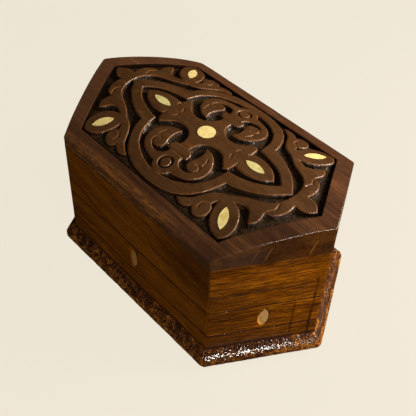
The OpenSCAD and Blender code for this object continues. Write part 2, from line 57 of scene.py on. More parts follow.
def box_mm(node):
    return [np.array(v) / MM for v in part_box(node)]


plank_lo, plank_hi = box_mm("lid_plank")
half_w, tip_x, crown_z, plank_z = plank_hi[1], plank_hi[0], plank_hi[2], plank_lo[2]
half_long = box_mm("base_wall_front")[1][0]
plinth_lo, plinth_hi = box_mm("plinth_front")
plinth_out, plinth_h = -half_w - plinth_lo[1], plinth_hi[2]
eye_lo, eye_hi = box_mm("eye_front")
band_z = (eye_lo[2] + eye_hi[2]) / 2
lid_seam_z = box_mm("lid_wall_front")[0][2]
carving = (box_mm("centre_inlay")[0] + box_mm("centre_inlay")[1])[:2] / 2
CORNERS = np.array([[-half_long, -half_w], [half_long, -half_w], [tip_x, 0],
                    [half_long, half_w], [-half_long, half_w], [-tip_x, 0]])


def vertices_of(node):
    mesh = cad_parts[node].data
    co = np.empty(len(mesh.vertices) * 3)
    mesh.vertices.foreach_get("co", co)
    return co.reshape(-1, 3) / MM


def levels_on_face(node, y):
    """Lowest and highest point of a node's face in the plane at y."""
    co = vertices_of(node)
    z = co[np.abs(co[:, 1] - y) < 0.01][:, 2]
    return z.min(), z.max()


edge_z = levels_on_face("lid_plank", half_w)[1]
band_bottom_z, band_top_z = levels_on_face("band_front", -half_w)
crown_drop = crown_z - edge_z
crown_r = (half_w ** 2 + crown_drop ** 2) / (2 * crown_drop)
crown_axis_z = crown_z - crown_r


def crown_height(y):
    return crown_axis_z + np.sqrt(crown_r ** 2 - np.asarray(y) ** 2)


def inset_of(x, y):
    """How far a point in plan lies inside the box's outline."""
    x, y = np.abs(x), np.abs(y)
    return np.minimum(half_w - y, (tip_x - x) * C30 - y / 2)


def hexagon(inset):
    w, tip, l = half_w - inset, tip_x - inset / C30, half_long - inset * T30
    return np.array([[-l, -w], [l, -w], [tip, 0], [l, w], [-l, w], [-tip, 0]])


def lumps(p, size, seed=0):
    """Smooth value noise from 0 to 1 with lumps of about that size."""
    q = np.asarray(p, float) / size
    cell = np.floor(q).astype(np.int64)
    f = q - cell
    f = f * f * (3 - 2 * f)
    total = np.zeros(len(q))
    for dx in (0, 1):
        for dy in (0, 1):
            for dz in (0, 1):
                i, j, k = cell[:, 0] + dx, cell[:, 1] + dy, cell[:, 2] + dz
                n = (i * 374761393 + j * 668265263 + k * 974634777 + seed * 362437) & 0xFFFFFFFF
                n = ((n ^ (n >> 13)) * 1274126177) & 0xFFFFFFFF
                weight = ((f[:, 0] if dx else 1 - f[:, 0]) * (f[:, 1] if dy else 1 - f[:, 1])
                          * (f[:, 2] if dz else 1 - f[:, 2]))
                total += weight * (((n ^ (n >> 16)) & 0xFFFF) / 65535)
    return total


def smoothstep(x, a, b):
    t = np.clip((x - a) / (b - a), 0, 1)
    return t * t * (3 - 2 * t)


def new_piece(name, verts, faces, body, replaced, smooth_angle=40):
    mesh = bpy.data.meshes.new(name)
    mesh.from_pydata((np.asarray(verts) * MM).tolist(), [], faces)
    return finish_piece(name, mesh, body, replaced, smooth_angle)


def finish_piece(name, mesh, body, replaced, smooth_angle=40):
    mesh.polygons.foreach_set("use_smooth", [True] * len(mesh.polygons))
    mesh.set_sharp_from_angle(angle=math.radians(smooth_angle))
    mesh.validate()
    piece = bpy.data.objects.new(name, mesh)
    bpy.context.scene.collection.objects.link(piece)
    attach(piece, body)
    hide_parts(*replaced)
    return piece


# ---- Rounding of the box's upright corners -----------------------------------

def round_corner(p, corner, outward, radius):
    """Moves points in plan near a corner of 120 degrees onto an arc of that radius."""
    centre = corner - outward * radius / S60
    away = p - centre
    near = np.linalg.norm(p - corner, axis=1) < radius * T30 + 0.01
    length = np.linalg.norm(away, axis=1)
    p = p.copy()
    p[near] = centre + away[near] / length[near, None] * np.broadcast_to(radius, len(length))[near, None]
    return p


def corner_outward(i):
    before, after = CORNERS[i - 1] - CORNERS[i], CORNERS[(i + 1) % 6] - CORNERS[i]
    d = before / np.linalg.norm(before) + after / np.linalg.norm(after)
    return -d / np.linalg.norm(d)


OUTWARD = [corner_outward(i) for i in range(6)]
WALL_CORNER_R = 1.5
RING_STEP = 0.85

# ---- Carved field ------------------------------------------------------------

GRID = 0.385
# Width of the carving's steep walls in plan, and half width and depth of its incised lines
WALL_W = 0.42
CREASE_W = 0.55
CREASE_D = 0.5
# Spacing and radius of the punched dents in the ground
PUNCH_STEP = 1.05
PUNCH_R = 0.36
# How far the hidden bottoms of the field and of the rim lie below the plank's edge
FIELD_FLOOR_D = 3.5
TRAY_FLOOR_D = 4
# Insets of the rim's rings of points, and the radius of the rim's inner edge
RIM_INSETS = (0.06, 0.18, 0.36, 0.6, 0.9, 1.3, 1.8, 2.4, 3.1, 4, 5, 6, 7, 7.9)
INNER_EDGE_R = 0.2


def plank_outlines():
    """The outlines cut into the crowned top, as segments in plan: [(segment, depth of the cut)]."""
    bm = bmesh.new()
    bm.from_mesh(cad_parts["lid_plank"].data)
    bmesh.ops.remove_doubles(bm, verts=bm.verts, dist=1e-6)
    found = []

    def depth(v):
        return crown_r - math.hypot(v.co.y / MM, v.co.z / MM - crown_axis_z)

    for e in bm.edges:
        if len(e.link_faces) != 2 or max(depth(v) for v in e.verts) > 0.02:
            continue
        wall, top = sorted(e.link_faces, key=lambda f: f.normal.z)
        if abs(wall.normal.z) < 0.3 and top.normal.z > 0.5:
            a, b = (np.array(v.co[:2]) / MM for v in e.verts)
            found.append((np.array([a, b]), max(depth(v) for v in wall.verts)))
    bm.free()
    return found


CUTS = [(s, d) for s, d in plank_outlines() if min(inset_of(*s[0]), inset_of(*s[1])) > 1]
ground_d = max(d for s, d in CUTS)
DEEP = [s for s, d in CUTS if d > 0.8 * ground_d]
POCKETS = [s for s, d in CUTS if d <= 0.8 * ground_d]
inlay_t = max(d for s, d in CUTS if d <= 0.8 * ground_d)
rim_w = min(inset_of(*s[0]) for s in DEEP)


def distance_field(segments, xs, ys, reach):
    """Distance to the segments, and the step to the nearest point on them, over a grid."""
    dist = np.full((len(ys), len(xs)), float(reach))
    step = np.zeros((len(ys), len(xs), 2))
    for a, b in segments:
        i0, i1 = np.searchsorted(xs, [min(a[0], b[0]) - reach, max(a[0], b[0]) + reach])
        j0, j1 = np.searchsorted(ys, [min(a[1], b[1]) - reach, max(a[1], b[1]) + reach])
        if i0 == i1 or j0 == j1:
            continue
        gx, gy = np.meshgrid(xs[i0:i1], ys[j0:j1])
        d = b - a
        t = np.clip(((gx - a[0]) * d[0] + (gy - a[1]) * d[1]) / max(d @ d, 1e-12), 0, 1)
        sx, sy = a[0] + t * d[0] - gx, a[1] + t * d[1] - gy
        length = np.hypot(sx, sy)
        window = dist[j0:j1, i0:i1]
        nearer = length < window
        window[nearer] = length[nearer]
        step[j0:j1, i0:i1][nearer] = np.stack([sx, sy], -1)[nearer]
    return dist, step


def inside_field(segments, xs, ys):
    inside = np.zeros((len(ys), len(xs)), bool)
    s = np.array(segments)
    for j, y in enumerate(ys + 1e-5):
        cross = (s[:, 0, 1] <= y) != (s[:, 1, 1] <= y)
        a, b = s[cross, 0], s[cross, 1]
        at = np.sort(a[:, 0] + (y - a[:, 1]) * (b[:, 0] - a[:, 0]) / (b[:, 1] - a[:, 1]))
        inside[j] = np.searchsorted(at, xs) % 2 == 1
    return inside


# Veins and curls incised into the tops of the relief, in one quarter of the carving
CREASES = [
    [(0, 14.6), (3.3, 14.6)],
    [(0, 20), (4.2, 20)],
    [(14.9, 12.9), (15.7, 15), (16.1, 17.3)],
    [(15.6, 22.5), (16.1, 21), (16, 20), (15.4, 19), (13.9, 18.3), (12.6, 18.9)],
    [(26, 4), (26.5, 5.3), (26.3, 6.5)],
    [(19.9, 1.5), (20.4, 3), (21.4, 4)],
    [(34.4, 29.6), (32.4, 30.2), (31, 31.8), (30.7, 33.4), (31.4, 34.8)],
    [(57.9, 9), (58.9, 12.5), (57, 15.5)],
]


def carved_lid():
    relief = [s for s in DEEP if max(inset_of(*s[0]), inset_of(*s[1])) > rim_w + 0.02]
    # Grid over the field, with its points near an outline pulled onto it
    reach_x, reach_y = tip_x - rim_w / C30 + 1, half_w - rim_w + 1
    xs, ys = np.arange(-reach_x, reach_x, GRID), np.arange(-reach_y, reach_y, GRID)
    dist, step = distance_field(relief, xs, ys, 3)
    x, y = np.meshgrid(xs, ys)
    raised = ~inside_field(DEEP, xs, ys) & (inset_of(x, y) > rim_w)
    signed = np.where(raised, dist, -dist)
    pocket_dist, pocket_step = distance_field(POCKETS, xs, ys, 2)
    pocket = inside_field(POCKETS, xs, ys)
    creases = []
    for line in CREASES:
        for sx in (-1, 1):
            for sy in (-1, 1):
                p = np.array(line) * (sx, sy) + carving
                creases += list(zip(p[:-1], p[1:]))
    crease_dist, crease_step = distance_field(creases, xs, ys, 2)

    length = np.maximum(dist, 1e-6)
    on_edge = dist < 0.45 * GRID
    on_foot = ~on_edge & (np.abs(signed + WALL_W) < 0.42 * GRID)
    on_pocket = ~on_edge & ~on_foot & (pocket_dist < 0.45 * GRID)
    on_crease = ~on_edge & ~on_foot & ~on_pocket & raised & (crease_dist < 0.45 * GRID)
    foot_step = step * (-(signed + WALL_W) / length)[..., None]
    move = np.where(on_edge[..., None], step, 0)
    move = np.where(on_foot[..., None], foot_step, move)
    move = np.where(on_pocket[..., None], pocket_step, move)
    move = np.where(on_crease[..., None], crease_step, move)
    signed = np.where(on_edge, 0, np.where(on_foot, -WALL_W, signed))
    crease_dist = np.where(on_crease, 0, crease_dist)
    x, y = x + move[..., 0], y + move[..., 1]
    plan = np.stack([x.ravel(), y.ravel(), np.zeros(x.size)], -1)

    # Depth below the crown
    shoulder_r = 0.2 + (0.5 * lumps(plan, 7, 5)).reshape(x.shape)
    shoulder = np.clip(shoulder_r - signed, 0, shoulder_r)
    top = shoulder_r - np.sqrt(shoulder_r ** 2 - shoulder ** 2)
    top = top + 0.06 + (0.16 * lumps(plan, 4.5, 3) + 0.07 * lumps(plan, 1.7, 4)).reshape(x.shape)
    top = top + CREASE_D * np.clip(1 - crease_dist / CREASE_W, 0, 1) * raised
    near_pocket = np.clip(1 - pocket_dist / 0.8, 0, 1)
    top = top * (1 - near_pocket) + 0.1 * near_pocket
    top = np.where(pocket & ~on_pocket, inlay_t + 0.1, top)
    # Punched ground
    cell = np.floor(plan[:, :2] / PUNCH_STEP)
    nearest = np.full(len(plan), 9.0)
    for dx in (-1, 0, 1):
        for dy in (-1, 0, 1):
            c = cell + (dx, dy)
            key = np.column_stack([c * 7.3, np.zeros(len(c))])
            at = (c + 0.15 + 0.7 * np.column_stack([lumps(key, 1, 11), lumps(key, 1, 12)])) * PUNCH_STEP
            nearest = np.minimum(nearest, np.hypot(*(plan[:, :2] - at).T))
    dents = np.exp(-(nearest / PUNCH_R) ** 2) * (0.55 + 0.45 * lumps(plan, 3, 13))
    ground = ground_d - 0.30 + (0.42 * dents + 0.30 * lumps(plan, 2.2, 14)).reshape(x.shape)
    wall = np.clip(-signed / WALL_W, 0, 1)
    depth = np.where(signed >= 0, top, shoulder_r * (1 - wall) + ground * wall)
    z = crown_axis_z + np.sqrt(crown_r ** 2 - y ** 2) - depth

    # Cells inside the rim's inner edge, closed below
    inset = inset_of(x, y)
    keep = inset > rim_w - 0.62
    cells = keep[:-1, :-1] & keep[1:, :-1] & keep[:-1, 1:] & keep[1:, 1:]
    index = np.arange(x.size).reshape(x.shape)
    quads = np.stack([index[:-1, :-1][cells], index[:-1, 1:][cells],
                      index[1:, 1:][cells], index[1:, :-1][cells]], -1)
    used, quads = np.unique(quads, return_inverse=True)
    quads = quads.reshape(-1, 4)
    field = np.stack([x.ravel(), y.ravel(), z.ravel()], -1)[used]
    floor_z = edge_z - FIELD_FLOOR_D
    bm = bmesh.new()
    verts = [bm.verts.new(v) for v in field.tolist()]
    for q in quads.tolist():
        bm.faces.new([verts[k] for k in q])
    border = [e for e in bm.edges if e.is_boundary]
    skirt = bmesh.ops.extrude_edge_only(bm, edges=border)["geom"]
    for v in skirt:
        if isinstance(v, bmesh.types.BMVert):
            v.co.z = floor_z
    rim = [e for e in skirt if isinstance(e, bmesh.types.BMEdge) and e.is_boundary]
    bmesh.ops.holes_fill(bm, edges=rim, sides=0)
    add_rim(bm)
    bmesh.ops.transform(bm, matrix=Matrix.Scale(MM, 4), verts=bm.verts)
    mesh = bpy.data.meshes.new("carved_lid")
    bm.normal_update()
    bm.to_mesh(mesh)
    bm.free()
    return finish_piece("carved_lid", mesh, "lid", ["lid_plank"], 60)


def side_steps(length, spacing):
    """Distances along a side, closer together near its two corners."""
    near = [0, 0.3, 0.6, 0.95, 1.35, 1.8, 2.4, 3.1]
    middle = np.linspace(near[-1], length - near[-1], max(2, round(length / spacing)))[1:-1]
    return np.array(near + list(middle) + [length - v for v in near[::-1]])[:-1]


def ring(inset, corner_radii):
    """Points round the outline at an inset, with rounded corners."""
    corners, points = hexagon(inset), []
    for i in range(6):
        outer = np.linalg.norm(CORNERS[(i + 1) % 6] - CORNERS[i])
        t = side_steps(outer, RING_STEP)[:, None] / outer
        points.append(corners[i] * (1 - t) + corners[(i + 1) % 6] * t)
    points = np.concatenate(points)
    for i in range(6):
        if corner_radii[i] > 0.05:
            points = round_corner(points, corners[i], OUTWARD[i], corner_radii[i])
    return points


def add_rim(bm):
    """The plank's plain rim, its outer faces and its underside, as a closed tray round the field."""
    # More worn at the front right corner and the back left one
    worn = np.array([0.6, 2.0, 0.4, 0.6, 1.6, 0.6])
    rings = []

    def at(points, z):
        rings.append(np.column_stack([points, z]))

    def soft(points):
        """Radius of the worn outer edge at each point."""
        p3 = np.column_stack([points, np.zeros(len(points))])
        front = smoothstep(-points[:, 1], half_w - 8, half_w - 1)
        radius = 0.45 + 0.35 * lumps(p3, 11, 21) + 0.5 * front
        for i in range(6):
            near = np.exp(-(np.linalg.norm(points - CORNERS[i], axis=1) / 6) ** 2)
            radius = radius + 0.35 * worn[i] * near
        return radius

    def uneven(points, seed, size):
        return lumps(np.column_stack([points, np.zeros(len(points))]), size, seed)

    # Outer faces from the underside up to the edge
    base = ring(0, np.full(6, WALL_CORNER_R))
    top_edge = crown_height(base[:, 1]) - soft(base) - SKIN
    inner = ring(SKIN, np.full(6, WALL_CORNER_R))
    at(inner, np.full(len(inner), plank_z + SKIN))
    for share in (0.05, 0.3, 0.55, 0.8, 1.0):
        radii = WALL_CORNER_R + worn * share
        sunk = 0.06 * uneven(base, 22, 9) + 0.03 * uneven(base, 23, 2.4)
        points = ring(SKIN, radii)
        centre_step = points / np.linalg.norm(points, axis=1)[:, None]
        points = points - centre_step * sunk[:, None]
        at(points, plank_z + SKIN + (top_edge - plank_z) * share)
    # Over the worn edge and across the rim
    for a in (*RIM_INSETS, rim_w - 0.55, rim_w - 0.22, rim_w):
        fade = max(0.0, 1 - a / 3.0)
        points = ring(a, (WALL_CORNER_R + worn) * fade)
        r = soft(points)
        over = r - np.sqrt(np.maximum(r ** 2 - np.maximum(r - a, 0) ** 2, 0))
        k = np.clip(INNER_EDGE_R - (rim_w - a), 0, INNER_EDGE_R)
        over = over + INNER_EDGE_R - math.sqrt(INNER_EDGE_R ** 2 - k ** 2)
        rough = SKIN + 0.10 * uneven(points, 24, 6) + 0.04 * uneven(points, 25, 1.8)
        at(points, crown_height(points[:, 1]) - over - rough)
    # Down the inner wall into the ground, and the hidden tray below
    foot = ring(rim_w + WALL_W, np.zeros(6))
    at(foot, crown_height(foot[:, 1]) - ground_d - 0.35)
    at(foot, np.full(len(foot), edge_z - TRAY_FLOOR_D))
    layers = [[bm.verts.new(v) for v in r.tolist()] for r in rings]
    n = len(layers[0])
    for lower, upper in zip(layers[:-1], layers[1:]):
        for k in range(n):
            bm.faces.new([lower[k], lower[(k + 1) % n], upper[(k + 1) % n], upper[k]])
    bm.faces.new(layers[-1])
    bm.faces.new(layers[0][::-1])


# ---- Walls and strips ----------------------------------------------------------

# Radius of the broken edges along the seams, and spacing of the cuts across a side
SEAM_EDGE_R = 0.18
SIDE_STEP = 2.2


def outer_faces(bm):
    """The faces that lie on the box's outline, all round."""
    return [f for f in bm.faces
            if all(abs(float(inset_of(v.co.x / MM, v.co.y / MM))) < 0.004 for v in f.verts)]


def cut(bm, point, normal):
    faces = outer_faces(bm)
    geom = list({v for f in faces for v in f.verts} | {e for f in faces for e in f.edges}) + faces
    bmesh.ops.bisect_plane(bm, geom=geom, plane_co=Vector(point) * MM, plane_no=Vector(normal), dist=1e-7)


def softened(node, side, body):
    """A copy of a wall or strip with rounded corners, broken edges along its seams and slight unevenness."""
    bm = bmesh.new()
    bm.from_mesh(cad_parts[node].data)
    bmesh.ops.remove_doubles(bm, verts=bm.verts, dist=1e-6)
    bmesh.ops.dissolve_limit(bm, angle_limit=math.radians(0.5), verts=bm.verts, edges=bm.edges)
    a, b = CORNERS[side], CORNERS[(side + 1) % 6]
    length = np.linalg.norm(b - a)
    along = (b - a) / length
    ends = [v for f in outer_faces(bm) for v in f.verts
            if min(np.linalg.norm(np.array(v.co[:2]) / MM - k) for k in (a, b)) < 1]
    levels = sorted({round(v.co.z / MM, 2) for v in ends})
    # Cuts across the side
    tangent = WALL_CORNER_R * T30
    for t in list(np.linspace(0, tangent, 5)[1:]) + list(np.arange(tangent + 1.2, length / 2, SIDE_STEP)):
        for p in (a + along * t, b - along * t):
            cut(bm, (*p, 0), (*along, 0))
    for k in (side, (side + 1) % 6):
        for other in (k - 1, (k + 1) % 6):
            d = (CORNERS[other] - CORNERS[k]) / np.linalg.norm(CORNERS[other] - CORNERS[k])
            if abs(d @ along) < 0.9:
                for t in np.linspace(0, tangent, 5)[1:]:
                    cut(bm, (*(CORNERS[k] + d * t), 0), (*d, 0))
    for z in levels:
        for d in (0.05, 0.14, 0.32, 0.8):
            for s in (-1, 1):
                cut(bm, (0, 0, z + s * d), (0, 0, 1))
    verts = list({v for f in outer_faces(bm) for v in f.verts})
    co = np.array([v.co for v in verts]) / MM
    # Rounded corners
    plan = co[:, :2]
    inward = np.zeros_like(plan)
    for i in range(6):
        c0, c1 = CORNERS[i], CORNERS[(i + 1) % 6]
        d = (c1 - c0) / np.linalg.norm(c1 - c0)
        n = np.array([-d[1], d[0]])
        on = np.abs((plan - c0) @ n) < 0.01
        inward[on] = n
    for i in range(6):
        near = np.linalg.norm(plan - CORNERS[i], axis=1) < tangent + 0.005
        centre = CORNERS[i] - OUTWARD[i] * WALL_CORNER_R / S60
        away = plan[near] - centre
        away = away / np.linalg.norm(away, axis=1)[:, None]
        plan[near] = centre + away * WALL_CORNER_R
        inward[near] = -away
    # Seam edges, chipped here and there, and unevenness
    seams = [z for z in levels if plinth_h < z < plank_z - 0.5]
    gap = np.min(np.abs(co[:, 2:3] - np.array(seams)), axis=1)
    chips = SEAM_EDGE_R * (0.55 + 0.9 * lumps(co, 3.1, 31 + side) ** 2 + 0.8 * (lumps(co, 1.3, 41) > 0.86))
    k = np.clip(chips - gap, 0, None)
    sunk = chips - np.sqrt(np.maximum(chips ** 2 - k ** 2, 0))
    sunk = sunk + 0.09 * lumps(co, 14, 51) + 0.03 * lumps(co, 4, 52)
    plan = plan + inward * sunk[:, None]
    for v, (px, py) in zip(verts, plan):
        v.co.x, v.co.y = px * MM, py * MM
    mesh = bpy.data.meshes.new(node + "_worn")
    bm.normal_update()
    bm.to_mesh(mesh)
    bm.free()
    return finish_piece(node + "_worn", mesh, body, [node], 42)


# ---- Plinth ------------------------------------------------------------------

def plinth(side):
    """A bullnose moulding with mitred ends, a rounded corner in plan and a pitted skin."""
    name = "plinth_" + SIDES[side]
    a, b = CORNERS[side], CORNERS[(side + 1) % 6]
    length = np.linalg.norm(b - a)
    along = (b - a) / length
    out = np.array([along[1], -along[0]])
    middle = (a + b) / 2
    # Profile: distance out of the wall and height, from the top inner edge round the nose
    nose_r = plinth_h / 2 + 0.15
    centre_out = plinth_out - nose_r
    start = math.acos(min(1, -centre_out / nose_r))
    profile = []
    for t in np.linspace(start, -start, 40):
        profile.append((centre_out + nose_r * math.cos(t) - SKIN, plinth_h / 2 + nose_r * math.sin(t)))
    profile = [(max(o, 0.0), min(max(h, 0.05), plinth_h)) for o, h in profile]
    profile = np.array([(0.0, plinth_h)] + profile[1:-1] + [(0.0, 0.0)])
    steps = side_steps(length, 0.5)
    share = np.append(steps, length) / length * 2 - 1
    rows = []
    for o, h in profile:
        half = length / 2 + (o - 0.06) * T30 - 0.03
        p = middle + along * (share * half)[:, None] + out * o
        radius = 0.4 + 0.6 * o
        for k, corner in ((side, a), ((side + 1) % 6, b)):
            p = round_corner(p, corner + OUTWARD[k] * o / C30, OUTWARD[k], radius)
        rows.append(np.column_stack([p, np.full(len(p), h)]))
    grid = np.array(rows)
    # Pits and lumps of varnish, sunk along the skin's normal
    flat = grid.reshape(-1, 3)
    du = np.gradient(grid, axis=1).reshape(-1, 3)
    dv = np.gradient(grid, axis=0).reshape(-1, 3)
    normal = np.cross(dv, du)
    normal /= np.maximum(np.linalg.norm(normal, axis=1), 1e-9)[:, None]
    if normal.reshape(grid.shape)[20, len(share) // 2, :2] @ out < 0:
        normal = -normal
    pits = (0.16 * lumps(flat, 3.2, 61) + 0.17 * lumps(flat, 1.25, 62)
            + 0.12 * (lumps(flat, 0.9, 63) > 0.72))
    end = np.minimum(np.abs(share + 1), np.abs(share - 1)) * length / 2
    groove = np.tile(0.22 * np.clip(1 - end / 0.45, 0, 1), len(rows))
    m, row = len(share), np.arange(len(rows))
    hold = np.tile(smoothstep(row, 0, 3) * smoothstep(len(rows) - 1 - row, 0, 2), (m, 1)).T.ravel()
    flat = flat - normal * ((pits + groove) * hold)[:, None]
    faces = []
    for j in range(len(rows) - 1):
        for k in range(m - 1):
            faces.append((j * m + k, (j + 1) * m + k, (j + 1) * m + k + 1, j * m + k + 1))
    last = (len(rows) - 1) * m
    # The back, against the wall, runs along every point of the top and bottom edges
    faces.append(tuple(range(m)) + tuple(last + k for k in range(m - 1, -1, -1)))
    faces.append(tuple(j * m for j in range(len(rows)))[::-1])
    faces.append(tuple(j * m + m - 1 for j in range(len(rows))))
    piece = new_piece(name + "_moulding", flat, faces, "base", [name], 50)
    bm = bmesh.new()
    bm.from_mesh(piece.data)
    bmesh.ops.recalc_face_normals(bm, faces=bm.faces)
    bm.to_mesh(piece.data)
    bm.free()
    return piece


# ---- Materials ---------------------------------------------------------------

class Look:
    """A material made of nodes. Its methods add a node and return its output."""

    def __init__(self, name, **sockets):
        self.material = bpy.data.materials.new(name)
        self.material.use_nodes = True
        self.tree = self.material.node_tree
        self.shader = self.tree.nodes["Principled BSDF"]
        for key, value in sockets.items():
            self.shader.inputs[key.replace("_", " ")].default_value = value
        self.place = self.node("ShaderNodeTexCoord", {}).outputs["Object"]

    def node(self, kind, inputs, **settings):
        n = self.tree.nodes.new(kind)
        for key, value in settings.items():
            setattr(n, key, value)
        for key, value in inputs.items():
            if isinstance(value, bpy.types.NodeSocket):
                self.tree.links.new(value, n.inputs[key])
            else:
                n.inputs[key].default_value = value
        return n

    def mm(self, turn=0.0, offset=(0, 0, 0)):
        """Object coordinates in millimetres, turned so that x runs along a side."""
        return self.node("ShaderNodeMapping", {"Vector": self.place, "Scale": (1 / MM,) * 3,
                                               "Rotation": (0, 0, -turn), "Location": offset}).outputs[0]

    def beside(self, side):
        """Millimetres on a side of the box: x along it from its middle, y inwards from its face."""
        turn = math.radians(60) * side
        middle = (CORNERS[side] + CORNERS[(side + 1) % 6]) / 2
        along, inward = (math.cos(turn), math.sin(turn)), (-math.sin(turn), math.cos(turn))
        return self.mm(turn, (-middle @ along, -middle @ inward, 0))

    def scaled(self, vector, scale, offset=(0, 0, 0)):
        return self.node("ShaderNodeMapping",
                         {"Vector": vector, "Scale": scale, "Location": offset}).outputs[0]

    def noise(self, vector, scale=1.0, detail=2.0, rough=0.5, distortion=0.0):
        return self.node("ShaderNodeTexNoise", {"Vector": vector, "Scale": scale, "Detail": detail,
                                                "Roughness": rough, "Distortion": distortion}).outputs[0]

    def math(self, operation, a, b=0.0, clamp=False):
        return self.node("ShaderNodeMath", {0: a, 1: b}, operation=operation, use_clamp=clamp).outputs[0]

    def times(self, a, b, clamp=False):
        return self.math("MULTIPLY", a, b, clamp)

    def plus(self, a, b):
        return self.math("ADD", a, b)

    def minus(self, a, b):
        return self.math("SUBTRACT", a, b)

    def distance(self, a, b):
        return self.math("ABSOLUTE", self.minus(a, b))

    def band(self, value, a, b, low=0.0, high=1.0):
        """Smooth step of value from low at a to high at b."""
        return self.node("ShaderNodeMapRange", {"Value": value, "From Min": a, "From Max": b, "To Min": low,
                                                "To Max": high}, interpolation_type="SMOOTHSTEP").outputs[0]

    def ramp(self, value, *stops):
        n = self.node("ShaderNodeValToRGB", {0: value})
        while len(n.color_ramp.elements) < len(stops):
            n.color_ramp.elements.new(0.5)
        for element, (at, colour) in zip(n.color_ramp.elements, stops):
            element.position = at
            element.color = (*colour, 1)
        return n.outputs[0]

    def mix(self, share, a, b):
        n = self.node("ShaderNodeMix", {}, data_type="RGBA", blend_type="MIX")
        for socket, value in ((0, share), (6, a), (7, b)):
            if isinstance(value, bpy.types.NodeSocket):
                self.tree.links.new(value, n.inputs[socket])
            elif socket:
                n.inputs[socket].default_value = (*value, 1)
            else:
                n.inputs[socket].default_value = value
        return n.outputs[2]

    def split(self, vector):
        return self.node("ShaderNodeSeparateXYZ", {0: vector}).outputs

    def warped(self, vector, scale, amount):
        """vector pushed about across the grain by a slow noise."""
        push = self.times(self.minus(self.noise(self.scaled(vector, scale), detail=1), 0.5), amount)
        step = self.node("ShaderNodeCombineXYZ", {1: push, 2: push}).outputs[0]
        return self.node("ShaderNodeVectorMath", {0: vector, 1: step}, operation="ADD").outputs[0]

    def bump(self, height, distance, strength=1.0):
        return self.node("ShaderNodeBump", {"Height": height, "Distance": distance * MM,
                                            "Strength": strength}).outputs[0]

    def set(self, **sockets):
        for key, value in sockets.items():
            self.tree.links.new(value, self.shader.inputs[key.replace("_", " ")])
        return self.material


def grain(look, p, across=(1.0, 1.0), seed=0.0, streak_l=20.0):
    """Long streaks, fibres and pores along x: (broad, streaks, fibres, pores)."""
    ay, az = across
    p = look.scaled(p, (1, 1, 1), (41 * seed, 17 * seed, 23 * seed))
    p = look.warped(p, (0.010, 0.03, 0.03), 7.0)
    p = look.warped(p, (0.045, 0.16, 0.16), 1.4)
    broad = look.noise(look.scaled(p, (0.008, 0.13 * ay, 0.13 * az)), detail=2)
    streaks = look.noise(look.scaled(p, (1 / streak_l, 0.85 * ay, 0.85 * az)), detail=5, rough=0.66)
    fibres = look.noise(look.scaled(p, (0.13, 1.5 * ay, 1.5 * az)), detail=4, rough=0.7)
    pores = look.noise(look.scaled(p, (0.35, 5.5 * ay, 5.5 * az)), detail=1)
    return broad, streaks, fibres, pores


def seam_marks(look, p, colour, painted_glints):
    """Grime along the seams of a side and painted shade along its foot above the plinth, with a few painted
    glints if asked: (colour, share of grime and shade).
    """
    depth, z = look.split(p)[1:3]
    patchy = look.noise(look.scaled(p, (0.25, 0, 0)), detail=3)
    glint_noise = look.noise(look.scaled(p, (0.9, 0, 0)), detail=3)
    # Painted shade along the foot of the wall, just above the plinth
    grime_and_shade = look.times(look.band(z, plinth_h + 0.6, plinth_h + 2.6, 1.0, 0.0), 0.75)
    for level, strength in ((band_bottom_z, 0.95), (band_top_z, 0.95), (lid_seam_z, 0.5)):
        off = look.distance(z, level)
        line = look.times(look.band(off, 0.30, 0.62, 1.0, 0.0),
                          look.band(patchy, 0.3, 0.55, 0.7 * strength, strength))
        grime_and_shade = look.math("MAXIMUM", grime_and_shade, line)
    grime_and_shade = look.times(grime_and_shade, look.band(depth, 0.6, 1.5, 1.0, 0.0))
    colour = look.mix(grime_and_shade, colour, (0.010, 0.0035, 0.0025))
    # Painted glints: a few pale dots along the seams, in clusters
    patchy = look.times(patchy, look.band(depth, 0.25, 0.5, 1.0, 0.0))
    glint_levels = ((band_bottom_z, 0.60), (band_top_z, 0.61), (lid_seam_z, 0.72)) if painted_glints else ()
    for level, fewest in glint_levels:
        off = look.distance(z, level)
        painted_glint = look.times(look.band(glint_noise, fewest, fewest + 0.05), look.band(off, 0.3, 0.5, 1.0, 0.0))
        painted_glint = look.times(painted_glint, look.band(patchy, 0.50, 0.58))
        colour = look.mix(look.times(painted_glint, 0.85), colour, (0.62, 0.50, 0.42))
    return colour, grime_and_shade


